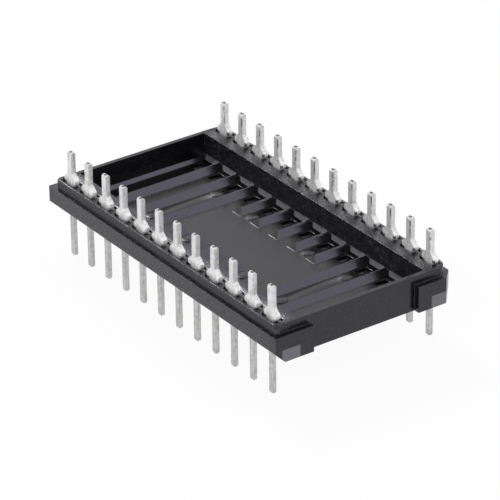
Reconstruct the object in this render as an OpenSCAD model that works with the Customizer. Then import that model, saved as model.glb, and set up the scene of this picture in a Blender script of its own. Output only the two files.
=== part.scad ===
// DIP header: an open moulded tray with two rows of pressed-in contacts.
// Origin: centre of the tray's underside, which is the seating plane. +X along the rows, +Z up.

/* [Layout] */
// Contacts in each of the two rows
contacts_per_row = 12; // [8:2:20]
// Distance between neighbouring contacts in a row
pitch = 2.54; // [2.4:0.01:3]
// Distance between the two rows
row_spacing = 15.24; // [14:0.01:20]

/* [Tray] */
// Height of the moulded body above the seating plane
body_h = 3.05; // [2.8:0.05:4]
// Thickness of the tray floor
floor_t = 0.75; // [0.5:0.05:0.9]
// Thickness of the end walls
end_wall_t = 0.39; // [0.3:0.01:0.8]
// Width of the plain panel in the middle of the floor
panel_w = 4.9; // [3:0.1:6]

/* [Rails] */
// Width of a rail at its top
rail_w = 2.1; // [1.8:0.05:2.5]
// Distance from the contact row to the rail's outer face
rail_outer = 0.7; // [0.6:0.01:1]
// Height of the ledge on the outside of a rail
ledge_h = 2.3; // [1.9:0.05:2.5]
// Width of the ledge along a rail
ledge_w = 0.37; // [0.2:0.01:0.7]
// Height of the flange's upright face under the ledge
flange_face_h = 1.39; // [1:0.01:1.6]
// Radius of a rail's upper corners, seen from above
rail_r = 0.3; // [0.1:0.01:0.5]
// Height of the rails' underside above the seating plane
standoff = 0.2; // [0.1:0.01:0.4]

/* [Corner blocks] */
// Distance that the corner blocks stand out from the end walls
block_out = 0.53; // [0.3:0.01:1]
// Width of a corner block, across the rows
block_w = 3.64; // [2.5:0.01:4.5]
// Size of the cut corner that marks the first contact
mark_c = 0.9; // [0.5:0.01:1.2]

/* [Floor ridges] */
// Number of short ridges, which stop at the plain panel
short_ridges = 5; // [3:2:9]
// Width of a ridge at its foot
ridge_w = 1.26; // [0.8:0.01:1.5]
// Height of a ridge above the floor
ridge_h = 0.47; // [0.2:0.01:0.6]
// Length of the slope at the inner end of a short ridge
ridge_ramp = 0.5; // [0.2:0.01:1]
// Radius of the round pads on the floor
pad_r = 0.6; // [0.3:0.01:0.62]
// Height of the round pads
pad_h = 0.08; // [0.04:0.01:0.2]
// Distance of the round pads from the middle of the tray, across the rows
pad_y = 3.2; // [2.6:0.05:3.4]

/* [Vents] */
// Gap between the floor's edge and the rail's inner face
vent_gap = 0.17; // [0.12:0.01:0.4]
// Height of the rail's inner lower edge
undercut_h = 1.15; // [1:0.01:1.4]
// Width of the ties between the vents
tie_w = 0.56; // [0.4:0.01:0.8]
// Depth of the ties under the rail's inner edge
tie_in = 0.08; // [0.06:0.01:0.2]
// Thickness of the rail's wall between the channel behind the vents and the contact slots
rail_wall = 0.55; // [0.5:0.01:0.8]
// Thickness of the skirt that closes the channel's outer side down to the seating plane
skirt_t = 0.25; // [0.2:0.01:0.4]
// Width of the small holes in the floor, along the rows
hole_w = 0.75; // [0.4:0.01:0.8]
// Length of the small holes in the floor, across the rows
hole_l = 1.2; // [0.6:0.01:1.3]
// Distance from a small hole to the floor's edge
hole_edge = 0.53; // [0.3:0.01:0.7]

/* [Contacts] */
// Thickness of the contacts' strip metal
contact_t = 0.48; // [0.4:0.01:0.5]
// Width of a contact's upper post
post_w = 0.53; // [0.4:0.01:0.7]
// Height of the posts above the rail
post_h = 2.8; // [2:0.05:4]
// Height of the slope from a post out to the shoulder
flare_h = 0.48; // [0.3:0.01:0.8]
// Width of a contact's shoulder
shoulder_w = 1.58; // [1.3:0.01:1.7]
// Height of the top of the shoulder's straight sides above the rail
shoulder_rise = 0.42; // [0.3:0.01:0.7]
// Height of the shoulder's underside above the rail
shoulder_lift = 0.03; // [0.02:0.01:0.1]
// Radius of the shoulder's lower corners
shoulder_r = 0.14; // [0.05:0.01:0.18]
// Width of the neck between the shoulder and the bottom of the recess
neck_w = 0.88; // [0.84:0.01:1]
// Length of the round-ended recess around a neck
recess_l = 2.05; // [1.7:0.01:2.2]
// Width of the round-ended recess around a neck
recess_w = 0.98; // [0.7:0.01:1]
// Depth of the recess, at whose bottom the neck sits
recess_d = 0.25; // [0.2:0.01:0.5]
// Width of the shank that is pressed into the rail
shank_w = 0.6; // [0.55:0.01:0.66]
// Depth of the holding barbs on the shank's sides
barb = 0.05; // [0.03:0.01:0.06]
// Width of a leg
leg_w = 0.48; // [0.35:0.01:0.54]
// Thickness of a leg
leg_t = 0.38; // [0.25:0.01:0.4]
// Length of the legs below the seating plane
leg_l = 3.61; // [2.5:0.05:5]
// Bevel on the two wide faces of a post's top
post_bevel = 0.13; // [0.05:0.01:0.18]
// Length of the taper at a leg's tip
tip_l = 0.12; // [0.05:0.01:0.4]
// Depth of the taper at a leg's tip
tip_in = 0.06; // [0.03:0.01:0.1]

/* [Fits] */
// Clearance between a contact's shank and its slot, on each side
shank_gap = 0.07; // [0.06:0.01:0.1]
// Clearance between a contact's faces and its slot, on each side
face_gap = 0.03; // [0.01:0.01:0.06]

/* [Hidden] */
$fn = 48;
// How far a cut runs past the face that it opens
cut_past = 0.2;
// Columns of round pads, counted in pitches from the middle of the tray
pad_columns = [-3.5, -1.5, 1.5, 3.5];

last_x = (contacts_per_row - 1) / 2 * pitch;
row_y = row_spacing / 2;
column_x = [for (i = [0 : contacts_per_row - 1]) i * pitch - last_x];
ridge_x = [for (i = [0 : contacts_per_row]) (i - contacts_per_row / 2) * pitch];

seat_z = body_h - recess_d;
shoulder_bottom_z = body_h + shoulder_lift;
shoulder_top_z = body_h + shoulder_rise;
flare_top_z = shoulder_top_z + flare_h;
post_top_z = body_h + post_h;
shank_bottom_z = standoff;
barb_z = (seat_z + shank_bottom_z) / 2;
barb_l = 4 * barb;
slot_w = shank_w + 2 * shank_gap;
slot_t = contact_t + 2 * face_gap;

vent_w = pitch - tie_w;
wall_in_x = last_x + vent_w / 2;
end_x = wall_in_x + end_wall_t;
block_x = end_x + block_out;
rail_out_y = row_y + rail_outer;
rail_in_y = rail_out_y - rail_w;
flange_y = rail_out_y + ledge_w;
floor_y = rail_in_y - vent_gap;
tie_y = rail_in_y + tie_in;
under_y = row_y - slot_t / 2 - rail_wall;
face_bottom_z = ledge_h - flange_face_h;

contact_count = 2 * contacts_per_row;
function contact_name(i) = str("contact_", i < 10 ? "0" : "", i);
// Contacts count round the tray from the marked corner, as seen from above: first row back, second row out
function contact_place(i) =
    i <= contacts_per_row
    ? [column_x[contacts_per_row - i], row_y]
    : [column_x[i - contacts_per_row - 1], -row_y];

// Draws its children on both sides of the tray's long middle plane
module both_rails() {
    children();
    mirror([0, 1, 0])
    children();
}

// Draws its children at both ends of the tray
module both_ends() {
    children();
    mirror([1, 0, 0])
    children();
}

// Turns a flat outline so that it stands across the rows, and draws it along X
module along_x(length) {
    rotate([90, 0, 90])
    linear_extrude(length)
    children();
}

// Turns a flat outline so that it stands along the rows, and draws it along Y
module along_y(length) {
    rotate([90, 0, 0])
    linear_extrude(length, center = true)
    children();
}

// Cross-section of a rail: top, riser, ledge, flange face and the slope under the flange
module rail_outline() {
    polygon([
        [rail_in_y, 0],
        [rail_in_y, body_h],
        [rail_out_y, body_h],
        [rail_out_y, ledge_h],
        [flange_y, ledge_h],
        [flange_y, face_bottom_z],
        [flange_y - face_bottom_z, 0]
    ]);
}

// Cross-section of a corner block, which carries the flange round the end of a rail
module block_outline() {
    polygon([
        [flange_y - block_w, 0],
        [flange_y - block_w, ledge_h],
        [flange_y, ledge_h],
        [flange_y, face_bottom_z],
        [flange_y - face_bottom_z, 0]
    ]);
}

module rails_and_blocks() {
    both_rails() {
        translate([-end_x, 0, 0])
        along_x(2 * end_x)
        rail_outline();
        both_ends()
        translate([wall_in_x, 0, 0])
        along_x(block_x - wall_in_x)
        block_outline();
    }
}

// Floor and end walls between the rails
module tray() {
    translate([-end_x, -under_y, 0])
    cube([2 * end_x, 2 * under_y, floor_t]);
    both_ends()
    translate([wall_in_x, -under_y, 0])
    cube([end_wall_t, 2 * under_y, body_h]);
}

// One roof-shaped ridge across the whole tray, with its crest over x = 0
module ridge() {
    along_y(2 * under_y)
    polygon([
        [-ridge_w / 2, floor_t],
        [0, floor_t + ridge_h],
        [ridge_w / 2, floor_t],
        [ridge_w / 2, 0],
        [-ridge_w / 2, 0]
    ]);
}

// Side view of the short ridges: they slope down to the plain panel
module short_ridge_outline() {
    polygon([
        [panel_w / 2, floor_t],
        [panel_w / 2 + ridge_ramp, floor_t + ridge_h],
        [under_y, floor_t + ridge_h],
        [under_y, 0],
        [panel_w / 2, 0]
    ]);
}

module ridges() {
    intersection() {
        for (x = ridge_x)
        translate([x, 0, 0])
        if (abs(x) > short_ridges / 2 * pitch)
        ridge();
        else
        intersection() {
            ridge();
            both_rails()
            translate([-ridge_w, 0, 0])
            along_x(2 * ridge_w)
            short_ridge_outline();
        }
        translate([-wall_in_x - end_wall_t / 2, -under_y, 0])
        cube([2 * wall_in_x + end_wall_t, 2 * under_y, body_h]);
    }
}

// Round pads left by the moulding tool
module pads() {
    both_rails()
    for (column = pad_columns)
    translate([column * pitch, pad_y, 0])
    cylinder(r = pad_r, h = floor_t + pad_h);
}

// Opening at the foot of a rail, one at each contact, with the small hole beside it
module vent(x) {
    translate([x - vent_w / 2, floor_y, -cut_past])
    cube([vent_w, (tie_y + under_y) / 2 - floor_y, undercut_h + cut_past]);
    translate([x - hole_w / 2, floor_y - hole_edge - hole_l, -cut_past])
    cube([hole_w, hole_l, floor_t + 2 * cut_past]);
}

// Channel under a rail, behind the ties, that joins its vents
module channel() {
    translate([-wall_in_x, tie_y, -cut_past])
    cube([2 * wall_in_x, under_y - tie_y, undercut_h + cut_past]);
}

// Recess for a contact's neck, with the slot for its shank below
module contact_cut(x) {
    translate([x, row_y, seat_z])
    linear_extrude(recess_d + cut_past)
    union() {
        square([recess_l - recess_w, recess_w], center = true);
        for (side = [-1, 1])
        translate([side * (recess_l - recess_w) / 2, 0])
        circle(d = recess_w);
    }
    translate([x - slot_w / 2, row_y - slot_t / 2, -cut_past])
    cube([slot_w, slot_t, seat_z + 2 * cut_past]);
}

// The space under a rail, outside its skirt, that keeps it off the board
module standoff_cut() {
    translate([-wall_in_x, under_y + skirt_t, -cut_past])
    cube([2 * wall_in_x, flange_y, standoff + cut_past]);
}

// What a round takes off the corner at [x, y]
module corner_trim(x, y, r) {
    translate([x - r, y - r])
    difference() {
        square(r + cut_past);
        circle(r);
    }
}

// Rounds the corner of a rail above its ledge
module rail_corner_cut(r) {
    translate([0, 0, ledge_h])
    linear_extrude(body_h - ledge_h + cut_past)
    corner_trim(end_x, rail_out_y, r);
}

// Cuts the corner next to the first contact: a bevel on the flange, a larger round on the rail above it
module mark_cut() {
    translate([block_x, flange_y, -cut_past])
    linear_extrude(ledge_h + cut_past)
    polygon([
        [-mark_c - cut_past, cut_past],
        [cut_past, -mark_c - cut_past],
        [cut_past, cut_past]
    ]);
    rail_corner_cut(mark_c);
}

module header_body() {
    color([0.10, 0.10, 0.11])
    difference() {
        union() {
            rails_and_blocks();
            tray();
            ridges();
            pads();
        }
        both_rails() {
            for (x = column_x) {
                vent(x);
                contact_cut(x);
            }
            channel();
            standoff_cut();
            both_ends()
            rail_corner_cut(rail_r);
        }
        mark_cut();
    }
}

// Front view of a contact's post, from the shoulder up past its top
module post_outline() {
    translate([-post_w / 2, shoulder_top_z])
    square([post_w, post_top_z + cut_past - shoulder_top_z]);
}

// Front view of the shoulder, with the slope up to the post and round lower corners
module shoulder_outline() {
    difference() {
        polygon([
            [-post_w / 2, flare_top_z],
            [post_w / 2, flare_top_z],
            [shoulder_w / 2, shoulder_top_z],
            [shoulder_w / 2, shoulder_bottom_z],
            [-shoulder_w / 2, shoulder_bottom_z],
            [-shoulder_w / 2, shoulder_top_z]
        ]);
        both_ends()
        mirror([0, 1])
        corner_trim(shoulder_w / 2, -shoulder_bottom_z, shoulder_r);
    }
}

// Front view of the neck, which sits on the bottom of the recess and runs up into the shoulder
module neck_outline() {
    translate([-neck_w / 2, seat_z])
    square([neck_w, shoulder_top_z - seat_z]);
}

// Front view of the shank, which runs up into the neck
module shank_outline() {
    translate([-shank_w / 2, shank_bottom_z])
    square([shank_w, body_h - shank_bottom_z]);
}

// Front view of the barbs at the shank's sides
module barb_outline() {
    polygon([
        [-shank_w / 2, barb_z - barb_l],
        [-shank_w / 2 - barb, barb_z],
        [shank_w / 2 + barb, barb_z],
        [shank_w / 2, barb_z - barb_l]
    ]);
}

// A leg seen from the front or the side, with its tapered tip; it runs up into the shank
module leg_outline(width) {
    polygon([
        [-width / 2, barb_z],
        [-width / 2, tip_l - leg_l],
        [-width / 2 + tip_in, -leg_l],
        [width / 2 - tip_in, -leg_l],
        [width / 2, tip_l - leg_l],
        [width / 2, barb_z]
    ]);
}

// A contact's post, shoulder and shank seen from the end of its row
module strip_outline() {
    polygon([
        [-contact_t / 2, shank_bottom_z],
        [-contact_t / 2, post_top_z - post_bevel],
        [-contact_t / 2 + post_bevel, post_top_z],
        [contact_t / 2 - post_bevel, post_top_z],
        [contact_t / 2, post_top_z - post_bevel],
        [contact_t / 2, shank_bottom_z]
    ]);
}

// One stamped contact, standing over x = 0, y = 0: its front outline cut out of its side outline
module contact() {
    depth = 2 * contact_t;
    width = 2 * shoulder_w;
    color([0.80, 0.80, 0.78])
    intersection() {
        union() {
            along_y(depth)
            post_outline();
            along_y(depth)
            shoulder_outline();
            along_y(depth)
            neck_outline();
            along_y(depth)
            shank_outline();
            along_y(depth)
            barb_outline();
            along_y(depth)
            leg_outline(leg_w);
        }
        translate([-width / 2, 0, 0])
        union() {
            along_x(width)
            strip_outline();
            along_x(width)
            leg_outline(leg_t);
        }
    }
}

header_body();
for (i = [1 : contact_count])
    translate(contact_place(i)) contact();
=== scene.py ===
"""DIP header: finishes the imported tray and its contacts, and sets the stage and the camera."""

import math

import bmesh
import bpy
from mathutils import Matrix, Vector


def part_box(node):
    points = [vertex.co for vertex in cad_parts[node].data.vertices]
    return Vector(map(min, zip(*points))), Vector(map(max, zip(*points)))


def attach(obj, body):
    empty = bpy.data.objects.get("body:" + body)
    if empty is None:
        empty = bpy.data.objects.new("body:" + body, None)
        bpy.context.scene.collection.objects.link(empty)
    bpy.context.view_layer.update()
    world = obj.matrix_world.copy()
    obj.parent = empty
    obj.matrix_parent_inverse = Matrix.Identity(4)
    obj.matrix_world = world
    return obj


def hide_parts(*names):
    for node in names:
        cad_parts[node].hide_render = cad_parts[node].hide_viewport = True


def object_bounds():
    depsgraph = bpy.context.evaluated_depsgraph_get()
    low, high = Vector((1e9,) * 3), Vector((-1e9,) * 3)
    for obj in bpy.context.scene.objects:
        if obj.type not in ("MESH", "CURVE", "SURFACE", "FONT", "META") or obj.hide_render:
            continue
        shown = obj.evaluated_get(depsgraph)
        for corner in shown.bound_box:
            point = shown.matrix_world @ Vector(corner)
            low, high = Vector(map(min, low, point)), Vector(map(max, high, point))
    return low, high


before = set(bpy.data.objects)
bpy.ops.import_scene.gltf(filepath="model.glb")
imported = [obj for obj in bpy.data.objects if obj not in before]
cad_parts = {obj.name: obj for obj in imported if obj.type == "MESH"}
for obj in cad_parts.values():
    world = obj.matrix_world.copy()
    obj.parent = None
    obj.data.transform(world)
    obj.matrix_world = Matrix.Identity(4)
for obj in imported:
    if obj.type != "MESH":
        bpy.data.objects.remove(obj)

bl_info = {
    "name": "DIP header",
    "version": (1, 0, 0),
    "blender": (4, 5, 0),
    "location": "3D View > Sidebar > DIP header",
    "description": "Finishes a DIP header's moulded tray and tin-plated contacts",
    "category": "Object",
}

MM = 0.001
ROOT = "root"
BODY_NODE = "header_body"
CAD_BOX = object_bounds()
CONTACT_NODES = sorted(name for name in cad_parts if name.startswith("contact_"))
FIRST_LOW, FIRST_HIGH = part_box(CONTACT_NODES[0])
SECOND_LOW, SECOND_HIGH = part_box(CONTACT_NODES[1])
FIRST_PLACE = (FIRST_LOW + FIRST_HIGH) / 2
SECOND_PLACE = (SECOND_LOW + SECOND_HIGH) / 2
PITCH = FIRST_PLACE.x - SECOND_PLACE.x
NUMBER = "contact_number"
SHARP = math.radians(20.0)
LEG_TIP = CAD_BOX[0].z
POST_TOP = CAD_BOX[1].z
MERGE_DISTANCE = 0.0005 * MM
WHOLE = (0.0, 1.0)

# Where the tray's finish changes, from one side of a change to the other: along the rows, across them, and up
END_WALL = (14.9 * MM, 15.0 * MM)
SCUFF_REACH = (0.2 * MM, 0.9 * MM)
RAIL_INNER = (6.1 * MM, 6.2 * MM)
UNDER_RAIL_START = (6.3 * MM, 6.4 * MM)
SCUFF_SIDE = (7.1 * MM, 7.5 * MM)
RAIL_MIDDLE = (7.4 * MM, 7.6 * MM)
RAIL_OUTER = (7.9 * MM, 8.0 * MM)
UNDER_RAIL_END = (8.0 * MM, 8.1 * MM)
ROW_CHANGE = (-1.0 * MM, 1.0 * MM)
UNDERCUT_TOP = (1.05 * MM, 1.12 * MM)
LEDGE = (2.32 * MM, 2.38 * MM)
FOOT_BAND_TOP = (2.6 * MM, 2.8 * MM)
RAIL_BROW = (2.86 * MM, 2.94 * MM)
RAIL_TOP = (2.95 * MM, 3.03 * MM)
INNER_FOOT = 1.2 * MM
OUTER_FOOT = 2.33 * MM
FOOT_EDGE = (0.0, 0.06 * MM)

# Where a contact's finish changes: up, and away from its own axis for its dark marks and painted shade
LEG_ROOT = (0.0, 0.8 * MM)
SHOULDER_TO_POST = (3.5 * MM, 4.0 * MM)
CORNER_LINE_ALONG = (0.18 * MM, 0.22 * MM)
CORNER_LINE_ACROSS = (-0.19 * MM, -0.15 * MM)
CORNER_LINE_BOTTOM = (POST_TOP - 2.0 * MM, POST_TOP - 0.9 * MM)
CORNER_LINE_TOP = (POST_TOP - 0.25 * MM, POST_TOP - 0.15 * MM)
# Painted shade: where the dark spot for the shoulder's notch lies
NOTCH_SHADE_ALONG = (0.56 * MM, 0.60 * MM)
NOTCH_SHADE_ACROSS = (-0.12 * MM, -0.08 * MM)
NOTCH_SHADE_BOTTOM = (3.12 * MM, 3.16 * MM)
NOTCH_SHADE_TOP = (3.36 * MM, 3.42 * MM)
SHEARED_ALONG = (0.14 * MM, 0.21 * MM)
SHEARED_HEIGHT = (POST_TOP - 0.035 * MM, POST_TOP - 0.01 * MM)

# Which part of a noise shows as marks
SCUFF_GRAIN = (0.46, 0.64)
SPECK_GRAIN = (0.53, 0.68)
CORNER_LINE_GRAIN = (0.42, 0.52)
PIT_GRAIN = (0.70, 0.75)
WEAR_GRAIN = (0.75, 1.1)

# How many times its own colour the plastic gains at its marks and where light is painted, and which share of
# its colour the tin keeps, with its painted light and shade
SCUFF_SHADE = 55.0
SCUFF_ROWS = (0.3, 1.0)
SPECK_SHADES = (7.0, 24.0)
# Painted light at the foot of the rails' outer faces
PAINTED_FOOT_LIGHT = 16.0
# Painted light on the faces under the rails, seen through the vents
UNDER_RAIL_PAINTED_LIGHT = 60.0
WEAR_SHADES = (0.68, 1.0)
PIT_SHADES = (1.0, 0.5)
LEG_SHADES = (0.58, 1.0)
# Painted light: the shoulders keep their whole colour, the posts above them less
PAINTED_SHOULDER_LIGHT = (1.0, 0.82)
# The dark marks, among them painted shade in the shoulder's notch
DARK_MARK_SHADES = (1.0, 0.12)

# Which edges of the tray and the contacts are rounded less, and by what share
RECESS_STRAIGHT = 0.54 * MM
RECESS_REACH = 0.52 * MM
RECESS_BOTTOM = 2.5 * MM
TRAY_ACROSS = 6.9 * MM
TRAY_ALONG = 14.9 * MM
TRAY_HEIGHT = 2.2 * MM
UNDERSIDE_TOP = 0.6 * MM
BROW_ACROSS = 7.2 * MM
BROW_HEIGHT = 2.4 * MM
CONTACT_END = 0.2 * MM
FULL_ROUND = 1.0
CONTACT_END_ROUND = 0.4
FINE_ROUND = 0.3
FINEST_ROUND = 0.15

# How strongly the surround lights the part, by how far a direction points to the lit side or up
LIT_SIDE = (-0.82, -0.57, 0.0)
TABLE_SPREAD = (0.1, 0.95)
TABLE_STRENGTH = (0.34, 1.60)
WALL_SPREAD = (0.3, 0.9)
WALL_STRENGTH = (0.80, 1.25)
WALL_RISE = (0.2, 0.9)
WALL_SHARE = (1.0, 0.35)
FAR_SPREAD = (-0.9, -0.3)
FAR_STRENGTH = (0.5, 0.0)
FAR_RISE = (0.2, 0.5)
FAR_SHARE = (1.0, -0.8)
HORIZON = (-0.1, 0.1)

# Direction, side length in metres and colour of each softbox
SOFTBOX_DISTANCE = 0.3
SOFTBOXES = {
    "side": ((-0.72, 0.12, 0.68), 0.08, (1.0, 1.0, 1.0)),
    "top": ((0.22, 0.48, 0.85), 0.20, (0.86, 0.86, 1.0)),
    "front": ((0.45, -0.75, 0.48), 0.20, (1.0, 1.0, 1.0)),
}


# Sizes and colours that a user would change


class HeaderTraySettings(bpy.types.PropertyGroup):
    edge_round: bpy.props.FloatProperty(
        name="Edge round",
        description="Radius on the moulding's outer edges",
        default=0.10 * MM,
        min=0.0,
        precision=6,
        unit="LENGTH",
    )
    colour: bpy.props.FloatVectorProperty(
        name="Plastic",
        description="Colour of the moulded plastic",
        default=(0.0022, 0.0022, 0.0024),
        size=3,
        min=0.0,
        max=1.0,
        subtype="COLOR",
    )
    rail_roughness: bpy.props.FloatProperty(
        name="Rail roughness",
        description="How dull the upright faces of the rails are",
        default=0.40,
        min=0.0,
        max=1.0,
        subtype="FACTOR",
    )
    roughness: bpy.props.FloatProperty(
        name="Roughness",
        description="How dull the rest of the plastic is",
        default=0.21,
        min=0.0,
        max=1.0,
        subtype="FACTOR",
    )


class HeaderContactSettings(bpy.types.PropertyGroup):
    per_row: bpy.props.IntProperty(
        name="Contacts per row",
        description="Contacts in each of the two rows",
        default=len(CONTACT_NODES) // 2,
        min=1,
    )
    pitch: bpy.props.FloatProperty(
        name="Pitch",
        description="Distance between neighbouring contacts in a row",
        default=PITCH,
        precision=6,
        unit="LENGTH",
    )
    row_spacing: bpy.props.FloatProperty(
        name="Row spacing",
        description="Distance between the two rows",
        default=2 * FIRST_PLACE.y,
        precision=6,
        unit="LENGTH",
    )
    edge_round: bpy.props.FloatProperty(
        name="Edge round",
        description="Radius on the stamped edges",
        default=0.03 * MM,
        min=0.0,
        precision=6,
        unit="LENGTH",
    )
    colour: bpy.props.FloatVectorProperty(
        name="Tin",
        description="Colour of the tin plating",
        default=(0.77, 0.76, 0.755),
        size=3,
        min=0.0,
        max=1.0,
        subtype="COLOR",
    )
    roughness: bpy.props.FloatProperty(
        name="Roughness",
        description="How dull the tin plating is",
        default=0.40,
        min=0.0,
        max=1.0,
        subtype="FACTOR",
    )


class HeaderStageSettings(bpy.types.PropertyGroup):
    azimuth: bpy.props.FloatProperty(
        name="Azimuth",
        description="Direction of the camera round the part",
        default=math.radians(54.876),
        subtype="ANGLE",
    )
    elevation: bpy.props.FloatProperty(
        name="Elevation",
        description="Height of the camera above the horizon",
        default=math.radians(28.253),
        subtype="ANGLE",
    )
    roll: bpy.props.FloatProperty(
        name="Roll",
        description="Turn of the camera about its own axis",
        default=math.radians(-0.693),
        subtype="ANGLE",
    )
    distance: bpy.props.FloatProperty(
        name="Distance",
        description="Distance of the camera from the middle of the post tops",
        default=294.257 * MM,
        unit="LENGTH",
    )
    slide_right: bpy.props.FloatProperty(
        name="Slide right",
        description="How far the camera stands to the right of its aim",
        default=0.237 * MM,
        precision=6,
        unit="LENGTH",
    )
    slide_up: bpy.props.FloatProperty(
        name="Slide up",
        description="How far the camera stands above its aim",
        default=-4.829 * MM,
        precision=6,
        unit="LENGTH",
    )
    lens: bpy.props.FloatProperty(
        name="Lens",
        description="Focal length of the camera, in millimetres",
        default=266.02,
        min=1.0,
    )
    side_power: bpy.props.FloatProperty(
        name="Side softbox",
        description="Power of the softbox to the left of the part",
        default=0.50,
        min=0.0,
        unit="POWER",
    )
    top_power: bpy.props.FloatProperty(
        name="Top softbox",
        description="Power of the softbox over the part",
        default=0.21,
        min=0.0,
        unit="POWER",
    )
    front_power: bpy.props.FloatProperty(
        name="Front softbox",
        description="Power of the softbox in front of the part",
        default=0.28,
        min=0.0,
        unit="POWER",
    )
    shadow_share: bpy.props.FloatProperty(
        name="Shadow",
        description="How much of the part's shadow the white floor keeps",
        default=0.06,
        min=0.0,
        max=1.0,
        subtype="FACTOR",
    )


# Node trees


def add_node(tree, kind, **inputs):
    """Adds a node and sets its unlinked inputs by socket name, with _ for a space."""
    node = tree.nodes.new(kind)
    for name, value in inputs.items():
        node.inputs[name.replace("_", " ")].default_value = value
    return node


def add_math(tree, operation, first, *others):
    """Takes a first operand through others by Math nodes, in turn; each is a number or a socket."""
    result = first
    for other in others or (0.0,):
        node = tree.nodes.new("ShaderNodeMath")
        node.operation = operation
        for socket, operand in zip(node.inputs, (result, other)):
            if isinstance(operand, bpy.types.NodeSocket):
                tree.links.new(operand, socket)
            else:
                socket.default_value = operand
        result = node.outputs["Value"]
    return result


def add_noise(tree, coordinates, feature_size, detail, roughness):
    """Adds a noise whose features have the given size in metres, and returns its value."""
    node = add_node(tree, "ShaderNodeTexNoise", Scale=1.0 / feature_size, Detail=detail, Roughness=roughness)
    tree.links.new(coordinates, node.inputs["Vector"])
    return node.outputs["Fac"]


def add_range(tree, value, limits, results):
    """Adds a Map Range node that takes a pair of limits to a pair of results, and goes no further."""
    low, high = limits
    to_low, to_high = results
    node = add_node(tree, "ShaderNodeMapRange", From_Min=low, From_Max=high, To_Min=to_low, To_Max=to_high)
    tree.links.new(value, node.inputs["Value"])
    return node.outputs["Result"]


def add_rise(tree, value, limits):
    """A mask that goes from 0 to 1 between two limits."""
    return add_range(tree, value, limits, (0.0, 1.0))


def add_fall(tree, value, limits):
    """A mask that goes from 1 to 0 between two limits."""
    return add_range(tree, value, limits, (1.0, 0.0))


def add_split(tree, vector):
    """Splits a vector, and returns its outputs X, Y and Z."""
    node = tree.nodes.new("ShaderNodeSeparateXYZ")
    tree.links.new(vector, node.inputs["Vector"])
    return node.outputs


def add_mix(tree, share, first, second):
    """Adds a Mix Shader node that goes from the first shader to the second."""
    node = tree.nodes.new("ShaderNodeMixShader")
    tree.links.new(share, node.inputs["Fac"])
    tree.links.new(first, node.inputs[1])
    tree.links.new(second, node.inputs[2])
    return node.outputs["Shader"]


def surface_grain_group():
    """The fine grain and the slow change in gloss that moulded and plated surfaces share."""
    name = "surface grain"
    if name in bpy.data.node_groups:
        return bpy.data.node_groups[name]
    group = bpy.data.node_groups.new(name, "ShaderNodeTree")
    sockets = group.interface
    sockets.new_socket("Vector", in_out="INPUT", socket_type="NodeSocketVector")
    for title, default in (("Grain Scale", 9000.0), ("Patch Scale", 400.0), ("Patch Spread", 0.1)):
        socket = sockets.new_socket(title, in_out="INPUT", socket_type="NodeSocketFloat")
        socket.default_value = default
    sockets.new_socket("Height", in_out="OUTPUT", socket_type="NodeSocketFloat")
    sockets.new_socket("Gloss Shift", in_out="OUTPUT", socket_type="NodeSocketFloat")
    start = group.nodes.new("NodeGroupInput")
    end = group.nodes.new("NodeGroupOutput")
    grain = add_node(group, "ShaderNodeTexNoise", Detail=3.0, Roughness=0.6)
    patch = add_node(group, "ShaderNodeTexNoise", Detail=4.0, Roughness=0.55)
    group.links.new(start.outputs["Vector"], grain.inputs["Vector"])
    group.links.new(start.outputs["Vector"], patch.inputs["Vector"])
    group.links.new(start.outputs["Grain Scale"], grain.inputs["Scale"])
    group.links.new(start.outputs["Patch Scale"], patch.inputs["Scale"])
    centred = add_math(group, "SUBTRACT", patch.outputs["Fac"], 0.5)
    shift = add_math(group, "MULTIPLY", centred, start.outputs["Patch Spread"])
    group.links.new(add_math(group, "SUBTRACT", grain.outputs["Fac"], 0.5), end.inputs["Height"])
    group.links.new(shift, end.inputs["Gloss Shift"])
    return group


def empty_tree(owner, output_kind):
    """Clears the node tree of a material or a world, and returns it with a new output."""
    owner.use_nodes = True
    tree = owner.node_tree
    tree.nodes.clear()
    return tree, tree.nodes.new(output_kind)


def new_material(name):
    """A node material with its tree, Principled BSDF and object coordinates."""
    material = bpy.data.materials.new(name)
    tree, output = empty_tree(material, "ShaderNodeOutputMaterial")
    shader = tree.nodes.new("ShaderNodeBsdfPrincipled")
    tree.links.new(shader.outputs["BSDF"], output.inputs["Surface"])
    place = tree.nodes.new("ShaderNodeTexCoord").outputs["Object"]
    return material, tree, shader, place


def add_tint(tree, mask, colour, dark, light):
    """Shades a colour between two shares of itself by a mask, and returns the result."""
    node = tree.nodes.new("ShaderNodeMix")
    node.data_type = "RGBA"
    node.clamp_factor = False
    ends = [socket for socket in node.inputs if socket.type == "RGBA"]
    ends[0].default_value = (*(dark * part for part in colour), 1.0)
    ends[1].default_value = (*(min(light * part, 1.0) for part in colour), 1.0)
    tree.links.new(mask, node.inputs["Factor"])
    return next(socket for socket in node.outputs if socket.type == "RGBA")


def add_stretch(tree, place, scale):
    """Object coordinates squeezed along some axes, so that a noise on them draws out into streaks."""
    node = add_node(tree, "ShaderNodeMapping", Scale=scale)
    tree.links.new(place, node.inputs["Vector"])
    return node.outputs["Vector"]


def add_grain(
    tree, shader, place, *, roughness, grain_size, patch_size, patch_spread, streaks, relief, depth
):
    """Puts the shared grain on a material's Roughness and, with streaks and relief, on its Normal."""
    grain = tree.nodes.new("ShaderNodeGroup")
    grain.node_tree = surface_grain_group()
    grain.inputs["Grain Scale"].default_value = 1.0 / grain_size
    grain.inputs["Patch Scale"].default_value = 1.0 / patch_size
    grain.inputs["Patch Spread"].default_value = patch_spread
    tree.links.new(place, grain.inputs["Vector"])
    tree.links.new(add_math(tree, "ADD", grain.outputs["Gloss Shift"], roughness), shader.inputs["Roughness"])
    bump = add_node(tree, "ShaderNodeBump", Strength=1.0, Distance=depth)
    height = add_math(tree, "ADD", grain.outputs["Height"], streaks)
    tree.links.new(add_math(tree, "MULTIPLY", height, relief), bump.inputs["Height"])
    tree.links.new(bump.outputs["Normal"], shader.inputs["Normal"])


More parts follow.
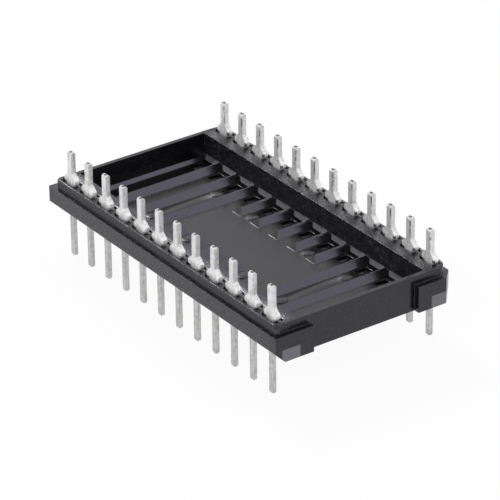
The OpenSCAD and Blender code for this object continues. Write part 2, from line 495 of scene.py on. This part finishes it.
def scuff_mask(tree, place, axes):
    """Pale scuffs on the rails' tops, on the inner side of each contact and most of all in the far row."""
    shifted = add_math(tree, "SUBTRACT", axes["X"], FIRST_PLACE.x)
    beside = add_math(tree, "PINGPONG", shifted, PITCH / 2)
    across = add_math(tree, "ABSOLUTE", axes["Y"])
    grains = add_noise(tree, place, 0.22 * MM, detail=4.0, roughness=0.6)
    return add_math(
        tree,
        "MULTIPLY",
        add_fall(tree, beside, SCUFF_REACH),
        add_fall(tree, across, SCUFF_SIDE),
        add_rise(tree, axes["Z"], RAIL_TOP),
        add_rise(tree, grains, SCUFF_GRAIN),
        add_range(tree, axes["Y"], ROW_CHANGE, SCUFF_ROWS),
    )


def plastic_material(settings):
    """Black moulded plastic with a semi-gloss skin, lines along the rails, scuffs by the contacts, and
    painted light at the rails' foot and under the rails.
    """
    material, tree, shader, place = new_material("black moulded plastic")
    shader.inputs["Specular Tint"].default_value = (0.90, 0.88, 1.0, 1.0)
    axes = add_split(tree, place)
    height = axes["Z"]
    across = add_math(tree, "ABSOLUTE", axes["Y"])
    along = add_math(tree, "ABSOLUTE", axes["X"])
    rail = add_math(tree, "MULTIPLY", add_rise(tree, across, RAIL_INNER), add_fall(tree, along, END_WALL))
    flow = add_noise(tree, place, 2.5 * MM, detail=3.0, roughness=0.5)
    scuffs = add_math(tree, "MULTIPLY", scuff_mask(tree, place, axes), SCUFF_SHADE)
    # Pale specks, most of all on the rails
    grains = add_noise(tree, place, 0.17 * MM, detail=2.0, roughness=0.6)
    specks = add_math(
        tree,
        "MULTIPLY",
        add_rise(tree, grains, SPECK_GRAIN),
        add_range(tree, rail, WHOLE, SPECK_SHADES),
    )
    # Painted light: the foot of the rails' outer faces is painted paler, standing in for the light it catches
    painted_foot_light = add_math(
        tree,
        "MULTIPLY",
        add_rise(tree, across, RAIL_OUTER),
        add_rise(tree, height, LEDGE),
        add_fall(tree, height, FOOT_BAND_TOP),
        PAINTED_FOOT_LIGHT,
    )
    # Painted light: the faces under the rails are painted paler, standing in for the light seen through the
    # vents
    painted_under_rail_light = add_math(
        tree,
        "MULTIPLY",
        add_rise(tree, across, UNDER_RAIL_START),
        add_fall(tree, across, UNDER_RAIL_END),
        add_fall(tree, height, UNDERCUT_TOP),
        UNDER_RAIL_PAINTED_LIGHT,
    )
    shade = add_math(tree, "ADD", flow, scuffs, specks, painted_foot_light, painted_under_rail_light)
    tree.links.new(add_tint(tree, shade, settings.colour, 0.5, 1.5), shader.inputs["Base Color"])
    # The rails' upright faces are duller than the rest
    foot = add_range(tree, across, RAIL_MIDDLE, (INNER_FOOT, OUTER_FOOT))
    above = add_rise(tree, add_math(tree, "SUBTRACT", height, foot), FOOT_EDGE)
    upright = add_math(tree, "MULTIPLY", rail, above, add_fall(tree, height, RAIL_BROW))
    drawn_out = add_stretch(tree, place, (0.05, 1.0, 1.0))
    lines = add_noise(tree, drawn_out, 0.12 * MM, detail=2.0, roughness=0.5)
    add_grain(
        tree,
        shader,
        place,
        roughness=add_range(tree, upright, WHOLE, (settings.roughness, settings.rail_roughness)),
        grain_size=0.18 * MM,
        patch_size=1.2 * MM,
        patch_spread=0.16,
        streaks=add_math(tree, "MULTIPLY", add_math(tree, "SUBTRACT", lines, 0.5), 0.8),
        relief=add_range(tree, rail, WHOLE, (0.2, 1.0)),
        depth=0.018 * MM,
    )
    return material


def contact_place(tree, axes):
    """How far a point lies from its contact's axis, along the row and across it; the rows face each other."""
    row = add_math(tree, "SIGN", axes["Y"])
    shifted = add_math(tree, "ADD", axes["X"], PITCH / 2 - FIRST_PLACE.x)
    in_step = add_math(tree, "FLOORED_MODULO", shifted, PITCH)
    along = add_math(tree, "MULTIPLY", add_math(tree, "SUBTRACT", in_step, PITCH / 2), row)
    across = add_math(tree, "SUBTRACT", add_math(tree, "MULTIPLY", axes["Y"], row), FIRST_PLACE.y)
    return along, across


def dark_mark_mask(tree, place, axes):
    """Dark marks on a contact: its sheared top, a broken dark line down a corner of the post, and painted
    shade in a small notch low on the shoulder's end.
    """
    along, across = contact_place(tree, axes)
    height = axes["Z"]
    grains = add_noise(tree, place, 0.3 * MM, detail=2.0, roughness=0.5)
    # A broken dark line down one corner of the post, near its top
    corner_line = add_math(
        tree,
        "MULTIPLY",
        add_rise(tree, along, CORNER_LINE_ALONG),
        add_fall(tree, across, CORNER_LINE_ACROSS),
        add_rise(tree, grains, CORNER_LINE_GRAIN),
        add_rise(tree, height, CORNER_LINE_BOTTOM),
        add_fall(tree, height, CORNER_LINE_TOP),
    )
    # Painted shade: a dark spot low on the shoulder's end, for the shade in its small notch
    notch_shade = add_math(
        tree,
        "MULTIPLY",
        add_rise(tree, along, NOTCH_SHADE_ALONG),
        add_fall(tree, across, NOTCH_SHADE_ACROSS),
        add_rise(tree, height, NOTCH_SHADE_BOTTOM),
        add_fall(tree, height, NOTCH_SHADE_TOP),
    )
    sheared = add_math(
        tree,
        "MULTIPLY",
        add_fall(tree, add_math(tree, "ABSOLUTE", along), SHEARED_ALONG),
        add_rise(tree, height, SHEARED_HEIGHT),
    )
    return add_math(tree, "MAXIMUM", corner_line, notch_shade, sheared)


def tin_material(settings):
    """Matte tin plating with faint streaks along the contact, pits, dark marks, painted shade in the
    shoulders' notches and shoulders painted lighter.
    """
    material, tree, shader, place = new_material("tin plating")
    axes = add_split(tree, place)
    height = axes["Z"]
    drawn_out = add_stretch(tree, place, (1.0, 1.0, 0.08))
    streaks = add_noise(tree, drawn_out, 0.15 * MM, detail=3.0, roughness=0.55)
    blotches = add_noise(tree, place, 0.35 * MM, detail=3.0, roughness=0.6)
    pits = add_noise(tree, place, 0.13 * MM, detail=2.0, roughness=0.5)
    wear = add_math(tree, "ADD", streaks, blotches)
    # The legs are more metallic than the posts and darker. Painted light: the shoulders are painted lighter
    # than the posts, standing in for light that the dark rail close below keeps off them, so they are the
    # lightest
    tree.links.new(add_range(tree, height, LEG_ROOT, (0.85, 0.3)), shader.inputs["Metallic"])
    mask = add_math(
        tree,
        "MULTIPLY",
        add_range(tree, wear, WEAR_GRAIN, WEAR_SHADES),
        add_range(tree, pits, PIT_GRAIN, PIT_SHADES),
        add_range(tree, height, SHOULDER_TO_POST, PAINTED_SHOULDER_LIGHT),
        add_range(tree, height, LEG_ROOT, LEG_SHADES),
        add_range(tree, dark_mark_mask(tree, place, axes), WHOLE, DARK_MARK_SHADES),
    )
    tree.links.new(add_tint(tree, mask, settings.colour, 0.0, 1.2), shader.inputs["Base Color"])
    add_grain(
        tree,
        shader,
        place,
        roughness=settings.roughness,
        grain_size=0.06 * MM,
        patch_size=0.4 * MM,
        patch_spread=0.2,
        streaks=add_math(tree, "SUBTRACT", wear, 1.0),
        relief=add_range(tree, height, LEG_ROOT, (0.4, 1.0)),
        depth=0.012 * MM,
    )
    return material


# Meshes


def merged_copy(node, name):
    """A copy of a CAD node with its triangles joined."""
    piece = bpy.data.objects.new(name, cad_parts[node].data.copy())
    bpy.context.scene.collection.objects.link(piece)
    piece.data.name = name
    mesh = bmesh.new()
    mesh.from_mesh(piece.data)
    bmesh.ops.remove_doubles(mesh, verts=mesh.verts, dist=MERGE_DISTANCE)
    mesh.to_mesh(piece.data)
    mesh.free()
    piece.data.materials.clear()
    return piece


def bake_modifiers(piece):
    """Turns a piece with modifiers into a plain mesh."""
    graph = bpy.context.evaluated_depsgraph_get()
    made = bpy.data.meshes.new_from_object(piece.evaluated_get(graph), depsgraph=graph)
    piece.modifiers.clear()
    old = piece.data
    piece.data = made
    bpy.data.meshes.remove(old)
    made.name = piece.name


def round_edges(piece, radius, share):
    """Rounds each sharp edge by its share of the radius, and keeps flat faces flat to the eye."""
    mesh = bmesh.new()
    mesh.from_mesh(piece.data)
    weight = mesh.edges.layers.float.new("bevel_weight_edge")
    for edge in mesh.edges:
        if edge.calc_face_angle(0.0) > SHARP:
            edge[weight] = share(edge)
    for face in mesh.faces:
        face.smooth = True
    mesh.to_mesh(piece.data)
    mesh.free()
    bevel = piece.modifiers.new("edge round", "BEVEL")
    bevel.width = radius
    bevel.segments = 2
    bevel.limit_method = "WEIGHT"
    bevel.loop_slide = False
    bevel.use_clamp_overlap = False
    bevel.face_strength_mode = "FSTR_ALL"
    weights = piece.modifiers.new("flat faces", "WEIGHTED_NORMAL")
    weights.mode = "FACE_AREA"
    weights.use_face_influence = True
    bake_modifiers(piece)


def edge_middle(edge):
    """The middle of an edge."""
    return (edge.verts[0].co + edge.verts[1].co) / 2


def tray_edge_share(edge):
    """Full rounds outside on the rails' tops, fine ones inside, below and in recesses, else the finest."""
    place = edge_middle(edge)
    across, along = abs(place.y), abs(place.x)
    past_column = (along - FIRST_PLACE.x) % PITCH
    beside_column = min(past_column, PITCH - past_column)
    to_recess = math.hypot(max(beside_column - RECESS_STRAIGHT, 0.0), across - FIRST_PLACE.y)
    by_recess = to_recess < RECESS_REACH and place.z > RECESS_BOTTOM
    in_tray = across < TRAY_ACROSS and along < TRAY_ALONG and place.z < TRAY_HEIGHT
    if by_recess or in_tray or place.z < UNDERSIDE_TOP or not edge.is_convex:
        return FINE_ROUND
    on_brow = across > BROW_ACROSS and place.z > BROW_HEIGHT
    return FULL_ROUND if on_brow else FINEST_ROUND


def contact_edge_share(edge):
    """Full rounds all over a contact, but finer ones at its top and the leg's tip."""
    height = edge_middle(edge).z
    at_end = height < LEG_TIP + CONTACT_END or height > POST_TOP - CONTACT_END
    return CONTACT_END_ROUND if at_end else FULL_ROUND


def contact_rows_tree():
    """Geometry nodes that set one contact at every place of the two rows."""
    tree = bpy.data.node_groups.new("contact rows", "GeometryNodeTree")
    sockets = tree.interface
    sockets.new_socket("Contact", in_out="INPUT", socket_type="NodeSocketGeometry")
    sockets.new_socket("Per Row", in_out="INPUT", socket_type="NodeSocketInt")
    sockets.new_socket("Pitch", in_out="INPUT", socket_type="NodeSocketFloat")
    sockets.new_socket("Row Spacing", in_out="INPUT", socket_type="NodeSocketFloat")
    sockets.new_socket("Finish", in_out="INPUT", socket_type="NodeSocketMaterial")
    sockets.new_socket("Contacts", in_out="OUTPUT", socket_type="NodeSocketGeometry")
    start = tree.nodes.new("NodeGroupInput")
    end = tree.nodes.new("NodeGroupOutput")
    gaps = add_math(tree, "SUBTRACT", start.outputs["Per Row"], 1.0)
    length = add_math(tree, "MULTIPLY", gaps, start.outputs["Pitch"])
    both = tree.nodes.new("GeometryNodeJoinGeometry")
    rows = []
    for side in (1.0, -1.0):
        first = tree.nodes.new("ShaderNodeCombineXYZ")
        tree.links.new(add_math(tree, "MULTIPLY", length, side / 2), first.inputs["X"])
        tree.links.new(add_math(tree, "MULTIPLY", start.outputs["Row Spacing"], side / 2), first.inputs["Y"])
        step = tree.nodes.new("ShaderNodeCombineXYZ")
        tree.links.new(add_math(tree, "MULTIPLY", start.outputs["Pitch"], -side), step.inputs["X"])
        row = tree.nodes.new("GeometryNodeMeshLine")
        row.mode = "OFFSET"
        tree.links.new(start.outputs["Per Row"], row.inputs["Count"])
        tree.links.new(first.outputs["Vector"], row.inputs["Start Location"])
        tree.links.new(step.outputs["Vector"], row.inputs["Offset"])
        rows.append(row)
    for row in reversed(rows):
        tree.links.new(row.outputs["Mesh"], both.inputs["Geometry"])
    number = tree.nodes.new("GeometryNodeStoreNamedAttribute")
    number.data_type = "INT"
    number.domain = "POINT"
    number.inputs["Name"].default_value = NUMBER
    tree.links.new(both.outputs["Geometry"], number.inputs["Geometry"])
    tree.links.new(tree.nodes.new("GeometryNodeInputIndex").outputs["Index"], number.inputs["Value"])
    place = tree.nodes.new("GeometryNodeInstanceOnPoints")
    tree.links.new(number.outputs["Geometry"], place.inputs["Points"])
    tree.links.new(start.outputs["Contact"], place.inputs["Instance"])
    real = tree.nodes.new("GeometryNodeRealizeInstances")
    tree.links.new(place.outputs["Instances"], real.inputs["Geometry"])
    finish = tree.nodes.new("GeometryNodeSetMaterial")
    tree.links.new(real.outputs["Geometry"], finish.inputs["Geometry"])
    tree.links.new(start.outputs["Finish"], finish.inputs["Material"])
    tree.links.new(finish.outputs["Geometry"], end.inputs["Contacts"])
    return tree


def set_input(modifier, name, value):
    """Sets a Geometry Nodes modifier's input by its name in the tree."""
    for socket in modifier.node_group.interface.items_tree:
        if socket.item_type == "SOCKET" and socket.in_out == "INPUT" and socket.name == name:
            modifier[socket.identifier] = value
            return
    raise ValueError(f"the tree has no input named {name}")


def split_contacts(rows, finish):
    """One mesh for each contact, taken from the rows by the number that the points carry."""
    made = []
    for index, node in enumerate(CONTACT_NODES):
        mesh = bmesh.new()
        mesh.from_mesh(rows.data)
        number = mesh.verts.layers.int[NUMBER]
        others = [vertex for vertex in mesh.verts if vertex[number] != index]
        bmesh.ops.delete(mesh, geom=others, context="VERTS")
        for face in mesh.faces:
            face.material_index = 0
        single = bpy.data.meshes.new("tin_" + node)
        mesh.to_mesh(single)
        mesh.free()
        single.materials.append(finish)
        piece = bpy.data.objects.new("tin_" + node, single)
        bpy.context.scene.collection.objects.link(piece)
        made.append((piece, node))
    return made


# Stage


def add_mirrored(tree, rays):
    """A mask of the rays that come by way of a reflection or through something clear."""
    return add_math(tree, "MAXIMUM", rays.outputs["Is Glossy Ray"], rays.outputs["Is Transmission Ray"])


def floor_material(settings):
    """A pale floor: plain white to the camera, with a share of the part's shadow."""
    material = bpy.data.materials.new("pale floor")
    tree, output = empty_tree(material, "ShaderNodeOutputMaterial")
    paper = add_node(tree, "ShaderNodeBsdfDiffuse", Color=(0.8, 0.8, 0.8, 1.0))
    glow = add_node(tree, "ShaderNodeEmission", Color=(1.0, 1.0, 1.0, 1.0))
    clear = tree.nodes.new("ShaderNodeBsdfTransparent")
    rays = tree.nodes.new("ShaderNodeLightPath")
    share = add_math(tree, "MULTIPLY", rays.outputs["Is Camera Ray"], 1.0 - settings.shadow_share)
    white = add_mix(tree, share, paper.outputs["BSDF"], glow.outputs["Emission"])
    # Reflections look past the floor to the surround, which is the same white
    blend = add_mix(tree, add_mirrored(tree, rays), white, clear.outputs["BSDF"])
    tree.links.new(blend, output.inputs["Surface"])
    material.cycles.emission_sampling = "NONE"
    return material


def studio_world():
    """The studio: plain white to the camera and in reflections, graded where it lights the part."""
    world = bpy.data.worlds.new("studio")
    tree, output = empty_tree(world, "ShaderNodeOutputWorld")
    backdrop = add_node(tree, "ShaderNodeBackground", Color=(1.0, 1.0, 1.0, 1.0))
    rays = tree.nodes.new("ShaderNodeLightPath")
    direction = tree.nodes.new("ShaderNodeTexCoord").outputs["Generated"]
    toward = tree.nodes.new("ShaderNodeVectorMath")
    toward.operation = "DOT_PRODUCT"
    tree.links.new(direction, toward.inputs[0])
    toward.inputs[1].default_value = LIT_SIDE
    to_lit_side = toward.outputs["Value"]
    up = add_split(tree, direction)["Z"]
    table = add_range(tree, to_lit_side, TABLE_SPREAD, TABLE_STRENGTH)
    walls = add_math(
        tree,
        "MULTIPLY",
        add_range(tree, to_lit_side, WALL_SPREAD, WALL_STRENGTH),
        add_range(tree, up, WALL_RISE, WALL_SHARE),
    )
    far_side = add_math(
        tree,
        "MULTIPLY",
        add_range(tree, to_lit_side, FAR_SPREAD, FAR_STRENGTH),
        add_range(tree, up, FAR_RISE, FAR_SHARE),
    )
    above = add_rise(tree, up, HORIZON)
    lower = add_math(tree, "MULTIPLY", table, add_math(tree, "SUBTRACT", 1.0, above))
    upper = add_math(tree, "MULTIPLY", above, add_math(tree, "ADD", walls, far_side))
    plain = add_math(tree, "MAXIMUM", rays.outputs["Is Camera Ray"], add_mirrored(tree, rays))
    graded = add_math(tree, "ADD", lower, upper)
    lighting = add_math(tree, "MULTIPLY", add_math(tree, "SUBTRACT", 1.0, plain), graded)
    tree.links.new(add_math(tree, "ADD", plain, lighting), backdrop.inputs["Strength"])
    tree.links.new(backdrop.outputs["Background"], output.inputs["Surface"])
    world.cycles.sampling_method = "NONE"
    return world


def add_softbox(name, direction, size, colour, power):
    """A square softbox that faces the part from the given direction."""
    light = bpy.data.lights.new(name, "AREA")
    light.shape = "SQUARE"
    light.size = size
    light.energy = power
    light.color = colour
    lamp = bpy.data.objects.new(name, light)
    lamp.location = SOFTBOX_DISTANCE * Vector(direction)
    lamp.rotation_euler = Vector(direction).to_track_quat("Z", "Y").to_euler()
    lamp.visible_camera = False
    bpy.context.scene.collection.objects.link(lamp)


def camera_matrix(settings, aim):
    """Where the camera stands, from its angles and its slides off the aim."""
    flat = math.cos(settings.elevation)
    back = Vector((
        math.sin(settings.azimuth) * flat,
        -math.cos(settings.azimuth) * flat,
        math.sin(settings.elevation),
    ))
    level_right = Vector((math.cos(settings.azimuth), math.sin(settings.azimuth), 0.0))
    level_up = back.cross(level_right)
    turn, rise = math.cos(settings.roll), math.sin(settings.roll)
    right = turn * level_right + rise * level_up
    up = turn * level_up - rise * level_right
    place = aim + settings.slide_right * right + settings.slide_up * up + settings.distance * back
    matrix = Matrix((right, up, back)).transposed().to_4x4()
    matrix.translation = place
    return matrix


# Operators


class HEADER_OT_add_tray(bpy.types.Operator):
    """Adds the moulded tray with rounded edges and its plastic"""

    bl_idname = "header.add_tray"
    bl_label = "Moulded tray"

    def execute(self, context):
        settings = context.scene.header_tray
        tray = merged_copy(BODY_NODE, "moulded_tray")
        round_edges(tray, settings.edge_round, tray_edge_share)
        tray.data.materials.append(plastic_material(settings))
        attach(tray, ROOT)
        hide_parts(BODY_NODE)
        return {"FINISHED"}


class HEADER_OT_add_contacts(bpy.types.Operator):
    """Adds the two rows of tin-plated contacts"""

    bl_idname = "header.add_contacts"
    bl_label = "Contacts"

    def execute(self, context):
        settings = context.scene.header_contacts
        rows = merged_copy(CONTACT_NODES[0], "contact_rows")
        rows.data.transform(Matrix.Translation((-FIRST_PLACE.x, -FIRST_PLACE.y, 0.0)))
        round_edges(rows, settings.edge_round, contact_edge_share)
        tin = tin_material(settings)
        modifier = rows.modifiers.new("contact rows", "NODES")
        modifier.node_group = contact_rows_tree()
        set_input(modifier, "Per Row", settings.per_row)
        set_input(modifier, "Pitch", settings.pitch)
        set_input(modifier, "Row Spacing", settings.row_spacing)
        set_input(modifier, "Finish", tin)
        bake_modifiers(rows)
        for piece, node in split_contacts(rows, tin):
            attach(piece, ROOT)
            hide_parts(node)
        bpy.data.objects.remove(rows)
        return {"FINISHED"}


class HEADER_OT_set_stage(bpy.types.Operator):
    """Sets the floor, the softboxes, the surround and the camera"""

    bl_idname = "header.set_stage"
    bl_label = "Stage"

    def execute(self, context):
        scene = context.scene
        settings = scene.header_stage
        scene.view_settings.view_transform = "Standard"

        floor_mesh = bpy.data.meshes.new("floor")
        disc = bmesh.new()
        bmesh.ops.create_circle(disc, cap_ends=True, segments=96, radius=3.0)
        bmesh.ops.translate(disc, verts=disc.verts, vec=(0.0, 0.0, LEG_TIP))
        disc.to_mesh(floor_mesh)
        disc.free()
        floor = bpy.data.objects.new("floor", floor_mesh)
        scene.collection.objects.link(floor)
        floor.data.materials.append(floor_material(settings))

        for name, (direction, size, colour) in SOFTBOXES.items():
            add_softbox(f"{name} softbox", direction, size, colour, getattr(settings, f"{name}_power"))
        scene.world = studio_world()

        lens = bpy.data.cameras.new("camera")
        lens.sensor_width = 36.0
        lens.sensor_fit = "HORIZONTAL"
        lens.lens = settings.lens
        camera = bpy.data.objects.new("camera", lens)
        camera.matrix_world = camera_matrix(settings, Vector((0.0, 0.0, POST_TOP)))
        scene.collection.objects.link(camera)
        scene.camera = camera
        return {"FINISHED"}


class HEADER_PT_sidebar(bpy.types.Panel):
    """Lists the header's pieces and their settings"""

    bl_idname = "HEADER_PT_sidebar"
    bl_label = "DIP header"
    bl_space_type = "VIEW_3D"
    bl_region_type = "UI"
    bl_category = "DIP header"

    def draw(self, context):
        for group, operator in STEPS:
            settings = getattr(context.scene, group)
            box = self.layout.box()
            for name in settings.bl_rna.properties.keys():
                if name not in ("rna_type", "name"):
                    box.prop(settings, name)
            box.operator(operator.bl_idname)


STEPS = (
    ("header_tray", HEADER_OT_add_tray),
    ("header_contacts", HEADER_OT_add_contacts),
    ("header_stage", HEADER_OT_set_stage),
)
SETTINGS = {
    "header_tray": HeaderTraySettings,
    "header_contacts": HeaderContactSettings,
    "header_stage": HeaderStageSettings,
}
CLASSES = (*SETTINGS.values(), *(operator for _, operator in STEPS), HEADER_PT_sidebar)


def register():
    for made in CLASSES:
        bpy.utils.register_class(made)
    for name, group in SETTINGS.items():
        setattr(bpy.types.Scene, name, bpy.props.PointerProperty(type=group))


def unregister():
    for name in SETTINGS:
        delattr(bpy.types.Scene, name)
    for made in reversed(CLASSES):
        bpy.utils.unregister_class(made)


def main():
    register()
    bpy.ops.header.add_tray()
    bpy.ops.header.add_contacts()
    bpy.ops.header.set_stage()


if __name__ == "__main__":
    main()
